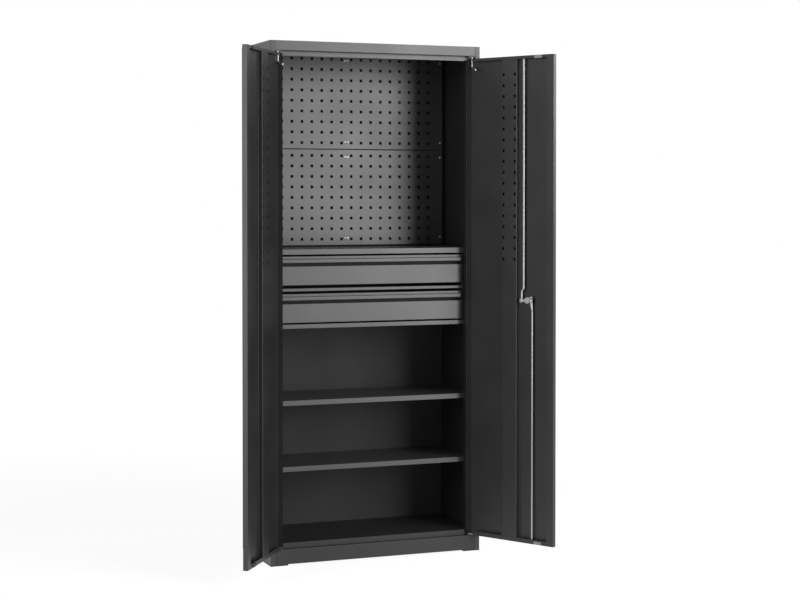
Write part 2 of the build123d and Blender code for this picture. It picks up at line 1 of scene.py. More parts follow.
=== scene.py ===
"""Looks of the tall steel storage cabinet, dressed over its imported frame.

Metres, Z up, X to the right seen from the front and Y into the cabinet, as in the frame.
Sizes in the classes are in millimetres, as a sheet-metal drawing gives them.
"""
import json
import logging
import math
from collections.abc import Iterable
from dataclasses import dataclass, replace
from enum import Enum

import bmesh
import bpy
from mathutils import Matrix, Vector


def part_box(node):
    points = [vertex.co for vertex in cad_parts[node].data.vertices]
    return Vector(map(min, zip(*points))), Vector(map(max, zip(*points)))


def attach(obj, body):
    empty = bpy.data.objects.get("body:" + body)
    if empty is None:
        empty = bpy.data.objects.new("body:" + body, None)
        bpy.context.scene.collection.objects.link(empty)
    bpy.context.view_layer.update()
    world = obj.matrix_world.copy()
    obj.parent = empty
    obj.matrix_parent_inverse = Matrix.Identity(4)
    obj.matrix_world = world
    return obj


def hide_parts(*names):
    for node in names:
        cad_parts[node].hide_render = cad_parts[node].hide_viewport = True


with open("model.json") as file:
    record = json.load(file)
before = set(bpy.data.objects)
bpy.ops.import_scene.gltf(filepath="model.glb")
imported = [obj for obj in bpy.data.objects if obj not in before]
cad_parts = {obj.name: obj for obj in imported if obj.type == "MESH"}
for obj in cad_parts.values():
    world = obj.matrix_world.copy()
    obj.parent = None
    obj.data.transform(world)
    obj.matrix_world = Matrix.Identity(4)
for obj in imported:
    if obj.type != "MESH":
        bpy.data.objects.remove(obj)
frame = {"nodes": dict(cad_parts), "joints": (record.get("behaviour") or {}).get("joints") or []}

Pair = tuple[float, float]
Triple = tuple[float, float, float]

MM = 0.001
WHITE = "#ffffff"
# Nearly all values of a noise texture lie between these two.
NOISE_SPAN = (0.3, 0.7)
# A Mix node has several sockets of one name, so they go by number.
MIX_SHARE = 0
FIRST_COLOUR, SECOND_COLOUR, MIXED_COLOUR = 6, 7, 2
FIRST_VALUE, SECOND_VALUE, MIXED_VALUE = 2, 3, 0
# Corners of a CAD mesh within this many metres of each other are one point.
SAME_POINT = 1e-6
# A profile's point within this many millimetres of the axis is on it.
ON_AXIS = 1e-6
# First and last point of a closed profile meet within this many millimetres.
SEAM = 1e-4
# Millimetres that a cutting tool stands out of what it cuts.
TOOL_OVERRUN = 1.0
# Faces that meet at more than this angle, in degrees, keep a sharp edge.
SHARP_ANGLE = 35
log = logging.getLogger("cabinet")


def linear(code: str) -> tuple[float, float, float, float]:
    """Turn an sRGB colour into the linear one that a shader takes.

    Args:
        code: Six hex digits after a #.

    Returns:
        Red, green, blue and an alpha of 1.
    """
    digits = code.lstrip("#")
    values = [int(digits[n:n + 2], 16) / 255 for n in (0, 2, 4)]
    # The numbers are those of the sRGB standard: a straight line near black, a power above it.
    red, green, blue = (v / 12.92 if v <= 0.04045 else ((v + 0.055) / 1.055) ** 2.4 for v in values)
    return (red, green, blue, 1.0)


def per_metre(millimetres: float) -> float:
    """Scale of a pattern whose features are that far apart."""
    return 1 / (millimetres * MM)


def add_node(
    tree: bpy.types.NodeTree,
    kind: str,
    inputs: dict[str | int, object] | None = None,
    **settings: object,
) -> bpy.types.Node:
    """Add a node to a tree with its settings and links.

    Args:
        tree: Node tree that gets the node.
        kind: Blender's name of the node's type.
        inputs: Value, or output socket to link, for each input socket.
        settings: Properties of the node itself.

    Returns:
        The new node.
    """
    node = tree.nodes.new(kind)
    for name, value in settings.items():
        setattr(node, name, value)
    for key, value in (inputs or {}).items():
        if isinstance(value, bpy.types.NodeSocket):
            tree.links.new(value, node.inputs[key])
        else:
            node.inputs[key].default_value = value
    return node


def empty_tree(owner: bpy.types.Material | bpy.types.World) -> bpy.types.NodeTree:
    """Switch on the nodes of a material or a world.

    Args:
        owner: What gets the nodes.

    Returns:
        Its node tree, with nothing in it.
    """
    owner.use_nodes = True
    owner.node_tree.nodes.clear()
    return owner.node_tree


def put_in_scene(name: str, data: bpy.types.ID) -> bpy.types.Object:
    """Make an object and put it in the scene.

    Args:
        name: Name of the object.
        data: Its mesh, lamp or camera.

    Returns:
        The object.
    """
    made = bpy.data.objects.new(name, data)
    bpy.context.scene.collection.objects.link(made)
    return made


class Finish:
    """A finish that makes its own Blender material."""

    name: str

    def shade(self, tree: bpy.types.NodeTree, place: bpy.types.NodeSocket) -> bpy.types.Node:
        """Add the finish's shader, with its patterns at `place` in metres, and return it."""
        raise NotImplementedError

    def material(self) -> bpy.types.Material:
        """Make the finish's material, at its first use only.

        Returns:
            The material.
        """
        found = bpy.data.materials.get(self.name)
        if found:
            return found
        made = bpy.data.materials.new(self.name)
        tree = empty_tree(made)
        place = add_node(tree, "ShaderNodeTexCoord").outputs["Object"]
        shader = self.shade(tree, place)
        add_node(tree, "ShaderNodeOutputMaterial", {"Surface": shader.outputs[0]})
        return made


@dataclass(frozen=True)
class PowderCoat(Finish):
    """Mild steel sheet under a baked satin powder coat.

    The powder melts into a film with a fine orange-peel skin. It gives the eye a dark, even
    colour with a broad soft sheen, a little cloudier where the film is thicker. Inside a narrow
    pocket the colour is drawn darker and duller as painted shade. `shade_from` is where such a
    pocket begins along Y and `shade_under` its top, both in metres in the frame.
    """

    name: str
    colour: str
    cloud: str
    roughness: float = 0.42
    roughness_spread: float = 0.03
    shine: float = 0.5
    ior: float = 1.5
    peel_mm: float = 2.4
    peel_depth_mm: float = 0.012
    peel_strength: float = 0.6
    cloud_mm: float = 170.0
    cloud_span: Pair = (0.35, 0.65)
    # Painted shade inside a narrow pocket: a darker colour and a duller skin, where it begins and how it
    # fades.
    shade_from: float | None = None
    shade_under: float = 0.0
    shade_colour: str = "#141414"
    shade_roughness: float = 0.8
    shade_blend_mm: float = 4.0
    shade_edge_mm: float = 1.0

    def shade(self, tree: bpy.types.NodeTree, place: bpy.types.NodeSocket) -> bpy.types.Node:
        """Add the paint's shader.

        Args:
            tree: Node tree of the material.
            place: Where a point is, in metres.

        Returns:
            The shader.
        """
        cloud = add_node(
            tree, "ShaderNodeTexNoise",
            {"Vector": place, "Scale": per_metre(self.cloud_mm), "Detail": 3.0},
        ).outputs[0]
        share = add_node(tree, "ShaderNodeMapRange", {
            "Value": cloud, "From Min": self.cloud_span[0], "From Max": self.cloud_span[1],
        }).outputs[0]
        colour = add_node(tree, "ShaderNodeMix", {
            MIX_SHARE: share, FIRST_COLOUR: linear(self.colour), SECOND_COLOUR: linear(self.cloud),
        }, data_type="RGBA").outputs[MIXED_COLOUR]
        gloss = add_node(tree, "ShaderNodeMapRange", {
            "Value": cloud, "From Min": NOISE_SPAN[0], "From Max": NOISE_SPAN[1],
            "To Min": self.roughness - self.roughness_spread,
            "To Max": self.roughness + self.roughness_spread,
        }).outputs[0]
        # Painted shade: deep in the pocket the colour is drawn darker and the paint duller.
        if self.shade_from is not None:
            shade_share = self.pocket_shade(tree, place)
            colour = add_node(tree, "ShaderNodeMix", {
                MIX_SHARE: shade_share, FIRST_COLOUR: colour, SECOND_COLOUR: linear(self.shade_colour),
            }, data_type="RGBA").outputs[MIXED_COLOUR]
            gloss = add_node(tree, "ShaderNodeMix", {
                MIX_SHARE: shade_share, FIRST_VALUE: gloss, SECOND_VALUE: self.shade_roughness,
            }).outputs[MIXED_VALUE]
        # Real orange peel is about 1 mm across; it is drawn coarser, so that it shows.
        peel = add_node(
            tree, "ShaderNodeTexNoise",
            {"Vector": place, "Scale": per_metre(self.peel_mm), "Detail": 1.5},
        )
        skin = add_node(tree, "ShaderNodeBump", {
            "Height": peel.outputs[0], "Strength": self.peel_strength,
            "Distance": self.peel_depth_mm * MM,
        })
        return add_node(tree, "ShaderNodeBsdfPrincipled", {
            "Base Color": colour,
            "Roughness": gloss,
            "Specular IOR Level": self.shine,
            "Normal": skin.outputs[0],
            "IOR": self.ior,
        })

    def pocket_shade(self, tree: bpy.types.NodeTree, place: bpy.types.NodeSocket) -> bpy.types.NodeSocket:
        """Add the share of painted shade that darkens and dulls the paint in a pocket.

        Args:
            tree: Node tree of the material.
            place: Where a point is, in metres.

        Returns:
            The share, 1 deep in the pocket and 0 outside it.
        """
        spot = add_node(tree, "ShaderNodeSeparateXYZ", {"Vector": place})
        deep = add_node(tree, "ShaderNodeMapRange", {
            "Value": spot.outputs["Y"], "From Min": self.shade_from,
            "From Max": self.shade_from + self.shade_blend_mm * MM,
        })
        return add_node(tree, "ShaderNodeMapRange", {
            "Value": spot.outputs["Z"], "From Min": self.shade_under,
            "From Max": self.shade_under - self.shade_edge_mm * MM, "To Max": deep.outputs[0],
        }).outputs[0]


@dataclass(frozen=True)
class ZincPlate(Finish):
    """Cold drawn or stamped steel with bright zinc plating.

    Plating follows the drawn surface, so it gives the eye a light, slightly blue metal with
    fine streaks along the piece and faint cloudy patches.
    """

    name: str
    colour: str = "#b4b5b7"
    patch: str = "#a2a3a6"
    roughness: float = 0.46
    roughness_spread: Pair = (-0.04, 0.05)
    streak_mm: float = 1.2
    streak_length: float = 30.0
    streak_depth_mm: float = 0.006
    streak_strength: float = 0.05
    patch_mm: float = 22.0

    def shade(self, tree: bpy.types.NodeTree, place: bpy.types.NodeSocket) -> bpy.types.Node:
        """Add the plating's shader.

        Args:
            tree: Node tree of the material.
            place: Where a point is, in metres.

        Returns:
            The shader.
        """
        patches = add_node(
            tree, "ShaderNodeTexNoise",
            {"Vector": place, "Scale": per_metre(self.patch_mm), "Detail": 4.0, "Roughness": 0.6},
        ).outputs[0]
        colour = add_node(tree, "ShaderNodeMix", {
            MIX_SHARE: patches, FIRST_COLOUR: linear(self.colour), SECOND_COLOUR: linear(self.patch),
        }, data_type="RGBA").outputs[MIXED_COLOUR]
        # Drawing marks are hair fine; they are drawn about 1 mm apart, so that they show.
        squeezed = add_node(
            tree, "ShaderNodeMapping", {"Vector": place, "Scale": (1, 1, 1 / self.streak_length)}
        )
        streaks = add_node(
            tree, "ShaderNodeTexNoise",
            {"Vector": squeezed.outputs[0], "Scale": per_metre(self.streak_mm), "Detail": 2.0},
        ).outputs[0]
        gloss = add_node(tree, "ShaderNodeMapRange", {
            "Value": streaks, "From Min": NOISE_SPAN[0], "From Max": NOISE_SPAN[1],
            "To Min": self.roughness + self.roughness_spread[0],
            "To Max": self.roughness + self.roughness_spread[1],
        })
        skin = add_node(tree, "ShaderNodeBump", {
            "Height": streaks, "Strength": self.streak_strength,
            "Distance": self.streak_depth_mm * MM,
        })
        return add_node(tree, "ShaderNodeBsdfPrincipled", {
            "Base Color": colour,
            "Roughness": gloss.outputs[0],
            "Normal": skin.outputs[0],
            "Metallic": 1.0,
        })


@dataclass(frozen=True)
class MouldedPlastic(Finish):
    """Injection-moulded thermoplastic with a spark-eroded mould grain.

    The grain gives the eye an even, matt surface with a fine sparkle along rounded edges.
    """

    name: str
    colour: str
    tint: str
    roughness: float = 0.5
    ior: float = 1.53
    grain_mm: float = 0.9
    grain_depth_mm: float = 0.03
    grain_strength: float = 0.5

    def shade(self, tree: bpy.types.NodeTree, place: bpy.types.NodeSocket) -> bpy.types.Node:
        """Add the plastic's shader.

        Args:
            tree: Node tree of the material.
            place: Where a point is, in metres.

        Returns:
            The shader.
        """
        # Mould grain is about 0.3 mm; it is drawn three times as coarse, so that it shows.
        grain = add_node(
            tree, "ShaderNodeTexNoise",
            {"Vector": place, "Scale": per_metre(self.grain_mm), "Detail": 2.0},
        ).outputs[0]
        colour = add_node(tree, "ShaderNodeMix", {
            MIX_SHARE: grain, FIRST_COLOUR: linear(self.colour), SECOND_COLOUR: linear(self.tint),
        }, data_type="RGBA").outputs[MIXED_COLOUR]
        skin = add_node(tree, "ShaderNodeBump", {
            "Height": grain, "Strength": self.grain_strength, "Distance": self.grain_depth_mm * MM,
        })
        return add_node(tree, "ShaderNodeBsdfPrincipled", {
            "Base Color": colour,
            "Roughness": self.roughness,
            "Normal": skin.outputs[0],
            "IOR": self.ior,
        })


# Side walls, doors and drawer trays: the satin charcoal coat.
CARCASS_COAT = PowderCoat("steel_powder_coat_charcoal", "#232323", "#272727")
# Top, peg panels, shelves, drawer case and fronts: the charcoal coat written lighter, as painted light
# for the sheen that their front faces catch, and a little glossier.
LIT_FRONT_COAT = PowderCoat("steel_powder_coat_grey", "#373737", "#3c3c3c", roughness=0.4)
# Plinth and floor tray: the charcoal coat with a duller skin.
BASE_COAT = PowderCoat("steel_powder_coat_satin", "#232323", "#272727", roughness=0.46, shine=0.37)
# Rear wall, base frame and the sheet behind the fronts: a matt coat written darker, as painted shade for
# the shadowed depths of the cabinet.
SHADED_INNER_COAT = PowderCoat("steel_powder_coat_matt", "#161616", "#1a1a1a", roughness=0.72)
# Rods, hinge pins, screws and the lock's metal: bright, slightly blue, with fine streaks.
ROD_ZINC = ZincPlate("drawn_steel_zinc_plated")
# Slides and shelf clips: the same plating on stamped strip, with broader streaks and patches.
SHEET_ZINC = ZincPlate(
    "stamped_steel_zinc_plated", "#b6b7b9", "#a0a1a4", roughness=0.42, streak_mm=3.0, patch_mm=40.0
)
# Turn handle: black nylon, even and matt.
GRIP_NYLON = MouldedPlastic("nylon_moulded_black", "#1c1c1d", "#242425")
# Bumper pads of the right door: undyed polythene, a pale, slightly waxy grey.
PAD_POLYTHENE = MouldedPlastic(
    "polythene_moulded_natural", "#9b9b98", "#a8a8a5", roughness=0.42, ior=1.51
)
# Bumper pads of the left door: the same polythene, dyed black.
PAD_BLACK = MouldedPlastic("polythene_moulded_black", "#1a1a1a", "#202020", roughness=0.45, ior=1.51)


def dress(nodes: Iterable[str], finish: Finish) -> None:
    """Give CAD nodes a finish.

    Args:
        nodes: Names of the nodes.
        finish: What their surfaces are finished with.
    """
    for name in nodes:
        mesh = frame["nodes"][name].data
        mesh.materials.clear()
        mesh.materials.append(finish.material())


def joint(name: str) -> dict:
    """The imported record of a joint."""
    return next(j for j in frame["joints"] if j["name"] == name)


def islands(node: str) -> list[tuple[Vector, Vector]]:
    """Find the separate solids of a CAD node.

    Args:
        node: Name of the node.

    Returns:
        Lowest and highest corner of each solid, in metres, in the order of the lowest corners.
    """
    mesh = bmesh.new()
    mesh.from_mesh(frame["nodes"][node].data)
    bmesh.ops.remove_doubles(mesh, verts=mesh.verts, dist=SAME_POINT)
    left = set(mesh.verts)
    boxes = []
    while left:
        queue = [left.pop()]
        found = list(queue)
        while queue:
            for edge in queue.pop().link_edges:
                for vertex in edge.verts:
                    if vertex in left:
                        left.discard(vertex)
                        queue.append(vertex)
                        found.append(vertex)
        low = Vector(min(v.co[n] for v in found) for n in range(3))
        high = Vector(max(v.co[n] for v in found) for n in range(3))
        boxes.append((low, high))
    mesh.free()
    return sorted(boxes, key=lambda box: tuple(box[0]))


def facing(point: Vector, way: Vector) -> Matrix:
    """Matrix that stands a piece drawn along +Z on a point, pointing along `way`."""
    return Matrix.Translation(point) @ way.to_track_quat("Z", "Y").to_matrix().to_4x4()


def scaled(shares: Iterable[Pair], radius: float, height: float) -> list[Pair]:
    """Profile in millimetres from its shares of a radius and a height."""
    return [(radius * across, height * up) for across, up in shares]


class Mesh:
    """A mesh under construction, in millimetres until it is finished."""

    def __init__(self) -> None:
        """Start empty."""
        self.shell = bmesh.new()

    def turned(self, profile: list[Pair], steps: int) -> None:
        """Turn a profile about the Z axis.

        Args:
            profile: Radius and height of each point, from one end to the other.
            steps: Facets round the axis.
        """
        angles = [2 * math.pi * n / steps for n in range(steps)]
        rings = []
        for radius, height in profile:
            if radius < ON_AXIS:
                rings.append([self.shell.verts.new((0, 0, height))])
                continue
            rings.append([
                self.shell.verts.new((radius * math.cos(a), radius * math.sin(a), height)) for a in angles
            ])
        for lower, upper in zip(rings, rings[1:]):
            for n in range(steps):
                corners = [
                    lower[n % len(lower)], lower[(n + 1) % len(lower)],
                    upper[(n + 1) % len(upper)], upper[n % len(upper)],
                ]
                loop = list(dict.fromkeys(corners))
                if len(loop) > 2:
                    self.shell.faces.new(loop)

    def slab(self, outline: list[Pair], low: float, high: float) -> None:
        """Raise an outline between two heights, closed at both ends.

        Args:
            outline: Points of the outline, counterclockwise.
            low: Height of its lower face.
            high: Height of its upper face.
        """
        lower = [self.shell.verts.new((x, y, low)) for x, y in outline]
        upper = [self.shell.verts.new((x, y, high)) for x, y in outline]
        self.shell.faces.new(list(reversed(lower)))
        self.shell.faces.new(upper)
        count = len(outline)
        for n in range(count):
            after = (n + 1) % count
            self.shell.faces.new((lower[n], lower[after], upper[after], upper[n]))

    def soften(self, width: float, sharper_than: float = 40.0, segments: int = 3) -> None:
        """Round every edge that turns more than an angle.

        Args:
            width: Width of the rounding.
            sharper_than: Angle in degrees between the faces.
            segments: Facets across the rounding.
        """
        limit = math.radians(sharper_than)
        edges = [e for e in self.shell.edges if len(e.link_faces) == 2 and e.calc_face_angle(0) > limit]
        bmesh.ops.bevel(
            self.shell, geom=edges, offset=width, segments=segments, profile=0.5,
            affect="EDGES", clamp_overlap=True,
        )

    def cut(self, tool: "Mesh") -> None:
        """Take another mesh's volume away.

        Args:
            tool: The mesh to take away, which is used up.
        """
        body = put_in_scene("body", self.data("body"))
        knife = put_in_scene("knife", tool.data("knife"))
        modifier = body.modifiers.new("cut", "BOOLEAN")
        modifier.object = knife
        modifier.operation = "DIFFERENCE"
        modifier.solver = "EXACT"
        shaped = bpy.data.meshes.new_from_object(
            body.evaluated_get(bpy.context.evaluated_depsgraph_get())
        )
        self.shell = bmesh.new()
        self.shell.from_mesh(shaped)
        for made in (body, knife):
            old = made.data
            bpy.data.objects.remove(made)
            bpy.data.meshes.remove(old)
        bpy.data.meshes.remove(shaped)

    def add(self, other: "Mesh", place: Matrix) -> None:
        """Add another mesh.

        Args:
            other: The mesh to add, which is used up.
            place: Where it goes, in millimetres.
        """
        extra = other.data("extra")
        extra.transform(place)
        self.shell.from_mesh(extra)
        bpy.data.meshes.remove(extra)

    def data(self, name: str) -> bpy.types.Mesh:
        """Finish the mesh, which can't be changed after that.

        Args:
            name: Name of Blender's mesh.

        Returns:
            Blender's mesh, still in millimetres.
        """
        bmesh.ops.recalc_face_normals(self.shell, faces=self.shell.faces)
        mesh = bpy.data.meshes.new(name)
        self.shell.to_mesh(mesh)
        self.shell.free()
        return mesh


@dataclass
class Piece:
    """A finished piece that rides on a CAD body."""

    name: str
    body: str
    finish: Finish
    slot: str
    replaced: tuple[str, ...] = ()

    def make(self, mesh: Mesh, places: list[Matrix]) -> None:
        """Copy a mesh to each place, join the copies and put them on the body.

        Args:
            mesh: One copy, in millimetres about its own origin, which is used up.
            places: Where the copies go, in metres in the frame.
        """
        one = mesh.data(self.name)
        joined = bmesh.new()
        scale = Matrix.Scale(MM, 4)
        for place in places:
            copy = one.copy()
            copy.transform(place @ scale)
            joined.from_mesh(copy)
            bpy.data.meshes.remove(copy)
        joined.to_mesh(one)
        joined.free()
        for polygon in one.polygons:
            polygon.use_smooth = True
        one.set_sharp_from_angle(angle=math.radians(SHARP_ANGLE))
        one.materials.append(self.finish.material())
        made = put_in_scene(self.name, one)
        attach(made, self.body)
        if self.replaced:
            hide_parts(*self.replaced)
        log.info("%s: %d copies, %d faces", self.name, len(places), len(one.polygons))


@dataclass
class Carcass:
    """Walls, top, plinth, floor tray and base frame, welded from folded sheet."""

    walls: tuple[str, ...] = ("side_panel_left", "side_panel_right")
    hinge_plates: tuple[str, ...] = ("hinge_plate_left", "hinge_plate_right")
    base: tuple[str, ...] = ("plinth", "floor_tray")
    dark: tuple[str, ...] = ("back_panel", "base_frame")

    def build(self) -> None:
        """Give each sheet its coat."""
        dress(self.walls, CARCASS_COAT)
        dress(self.base, BASE_COAT)
        dress(("top_panel",), LIT_FRONT_COAT)
        # Rear wall and base frame: the coat darkened as painted shade.
        dress(self.dark, SHADED_INNER_COAT)
        dress(self.hinge_plates, CARCASS_COAT)


@dataclass
class PegWall:
    """Perforated panels on their uprights, with cross-recessed pan-head screws."""

    head_radius: float = 4.0
    head_height: float = 2.4
    seat_radius: float = 3.84
    rim_height: float = 0.2
    dome: tuple[Pair, ...] = ((1.0, 0.45), (0.94, 0.7), (0.78, 0.88), (0.5, 0.98), (0.0, 1.0))
    shank_radius: float = 2.0
    shank_depth: float = 0.5
    head_facets: int = 32
    recess_span: float = 4.6
    recess_width: float = 1.1
    recess_depth: float = 1.5

    def build(self) -> None:
        """Dress the panels and uprights and replace the plain screws."""
        dress(("peg_panel_upper", "peg_panel_lower"), LIT_FRONT_COAT)
        dress(("peg_upright_left", "peg_upright_middle", "peg_upright_right"), SHADED_INNER_COAT)
        dress(("peg_panel_screws",), ROD_ZINC)
        places = []
        for low, high in islands("peg_panel_screws"):
            middle = (low + high) / 2
            seat = Vector((middle.x, low.y + self.head_height * MM, middle.z))
            places.append(facing(seat, Vector((0, -1, 0))))
        Piece("peg_screw_heads", "cabinet", ROD_ZINC, "zinc", ("peg_panel_screws",)).make(
            self.screw_head(), places
        )

    def screw_head(self) -> Mesh:
        """Draw a pan head with a cross recess and a stub of its shank, its seat at the origin.

        Returns:
            The screw head.
        """
        head = Mesh()
        head.turned([
            (0, -self.shank_depth), (self.shank_radius, -self.shank_depth), (self.shank_radius, 0),
            (self.seat_radius, 0), (self.head_radius, self.rim_height),
            *scaled(self.dome, self.head_radius, self.head_height),
        ], self.head_facets)
        long, wide = self.recess_span / 2, self.recess_width / 2
        for across, up in ((long, wide), (wide, long)):
            blade = Mesh()
            blade.slab(
                [(-across, -up), (across, -up), (across, up), (-across, up)],
                self.head_height - self.recess_depth, self.head_height + TOOL_OVERRUN,
            )
            head.cut(blade)
        return head


@dataclass
class Shelves:
    """Two lipped shelves on their clips."""

    shelves: tuple[str, ...] = ("shelf_upper", "shelf_lower")

    def build(self) -> None:
        """Dress the shelves and clips."""
        dress(self.shelves, LIT_FRONT_COAT)
        dress(("shelf_clips",), SHEET_ZINC)


@dataclass
class DrawerUnit:
    """Drawer case, its two drawers and their telescopic slides.

    `pocket_shade_from` is how far behind a drawer's front the painted shade of its finger pocket begins.
    """

    drawers: tuple[str, ...] = ("upper", "lower")
    slide_members: tuple[str, ...] = ("outer", "middle", "inner")
    pocket_shade_from: float = 3.0

    def build(self) -> None:
        """Dress the case and every drawer."""
        dress(("case_top", "case_bottom", "case_divider_rail"), LIT_FRONT_COAT)
        dress(("case_side_left", "case_side_right"), SHADED_INNER_COAT)
        for drawer in self.drawers:
            front = f"{drawer}_drawer_front"
            pull = f"{drawer}_drawer_pull"
            # The front's coat, with painted shade drawn darker inside its finger pocket.
            pocket_shaded_coat = replace(
                LIT_FRONT_COAT, name=f"steel_powder_coat_{drawer}_pocket",
                shade_from=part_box(front)[0].y + self.pocket_shade_from * MM,
                shade_under=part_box(pull)[1].z,
            )
            dress((front,), pocket_shaded_coat)
            dress((pull,), LIT_FRONT_COAT)
            dress((f"{drawer}_drawer_tray",), CARCASS_COAT)
            for member in self.slide_members:
                dress((f"{drawer}_slide_{member}_left", f"{drawer}_slide_{member}_right"), SHEET_ZINC)
            log.info("%s drawer dressed", drawer)


class Side(Enum):
    """Which door, by its side seen from the front."""

    LEFT = -1
    RIGHT = 1


@dataclass
class Door:
    """One door: a folded tray, its stiffener, hinge pins and bumpers.

    `lip_face` and `brim_face` are how far behind the door's face its lips and the stiffener's
    brims end. `brims_from_middle` and `pad_from_middle` are measured from the cabinet's middle,
    with the door closed. `weld_profile` is a share of the weld's radius and a height, from the
    foot of the raised rim to the shallow dent in its middle.
    """

    side: Side
    lip_face: float = 17.0
    brim_face: float = 2.0
    brims_from_middle: Pair = (152.5, 226.5)
    weld_radius: float = 3.0
    weld_profile: tuple[Pair, ...] = ((1.25, -0.05), (1.1, 0.1), (0.9, 0.16), (0.7, 0.05), (0.0, 0.02))
    weld_facets: int = 20
    weld_pitch: float = 140.0
    weld_margin: float = 45.0
    pad_length: float = 30.0
    pad_height: float = 10.0
    pad_thickness: float = 2.7
    pad_margin: float = 1.0
    pad_corner: float = 3.0
    pad_corner_facets: int = 6
    pad_rounding: float = 0.7
    pad_from_middle: Pair = (51.5, 81.5)

    @property
    def word(self) -> str:
        """The side as the nodes' names have it."""
        return self.side.name.lower()

    @property
    def swing(self) -> Matrix:
        """Turn from the closed door to the open one of the frame.

        Returns:
            The turn about the hinge, in metres.
        """
        hinge = joint(f"{self.word}_door_hinge")
        pin = Matrix.Translation(Vector(hinge["pos_m"]))
        turn = Matrix.Rotation(-math.radians(max(hinge["range_deg"])), 4, Vector(hinge["axis"]))
        return pin @ turn @ pin.inverted()

    def place(self, x: float, y: float, z: float) -> Matrix:
        """Stand a piece on the closed door's inside, facing into the cabinet.

        Args:
            x: Millimetres from the cabinet's middle.
            y: Millimetres behind the door's face.
            z: Millimetres above the floor.

        Returns:
            Its place with the door open.
        """
        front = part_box("plinth")[0].y
        point = Vector((self.side.value * x * MM, front + y * MM, z * MM))
        return self.swing @ facing(point, Vector((0, 1, 0)))

    def build(self) -> None:
        """Dress the door and add its welds and pads."""
        word = self.word
        dress((f"{word}_door_panel", f"{word}_door_stiffener"), CARCASS_COAT)
        dress((f"{word}_door_top_pin", f"{word}_door_bottom_pin"), ROD_ZINC)
        self.welds()
        self.pads()

    def heights(self) -> Pair:
        """Lowest and highest point of the door, in millimetres."""
        low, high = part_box(f"{self.word}_door_panel")
        return low.z / MM, high.z / MM

    def welds(self) -> None:
        """Spot welds along both brims of the stiffener."""
        low, high = self.heights()
        lowest, highest = low + self.weld_margin, high - self.weld_margin
        count = round((highest - lowest) / self.weld_pitch)
        step = (highest - lowest) / count
        places = [
            self.place(x, self.brim_face, lowest + n * step)
            for x in self.brims_from_middle for n in range(count + 1)
        ]
        weld = Mesh()
        weld.turned(scaled(self.weld_profile, self.weld_radius, 1), self.weld_facets)
        Piece(f"{self.word}_door_welds", f"{self.word}_door", CARCASS_COAT, "charcoal_paint").make(
            weld, places
        )

    def pads(self) -> None:
        """Moulded bumper pads near the meeting edge, with rounded ends and edges."""
        low, high = self.heights()
        middle = sum(self.pad_from_middle) / 2
        inset = self.pad_margin + self.pad_height / 2
        places = [self.place(middle, self.lip_face, z) for z in (low + inset, high - inset)]
        reach = self.pad_length / 2 - self.pad_corner
        half = self.pad_height / 2 - self.pad_corner
        step = 90 / self.pad_corner_facets
        outline = []
        for quarter, (across, up) in enumerate(((1, 1), (-1, 1), (-1, -1), (1, -1))):
            for n in range(self.pad_corner_facets + 1):
                angle = math.radians(90 * quarter + step * n)
                outline.append((
                    across * reach + self.pad_corner * math.cos(angle),
                    up * half + self.pad_corner * math.sin(angle),
                ))
        pad = Mesh()
        pad.slab(outline, 0, self.pad_thickness)
        pad.soften(self.pad_rounding)
        finish = PAD_POLYTHENE if self.side is Side.RIGHT else PAD_BLACK
        Piece(
            f"{self.word}_door_pads", f"{self.word}_door", finish, "bumper",
            (f"{self.word}_door_bumpers",),
        ).make(pad, places)


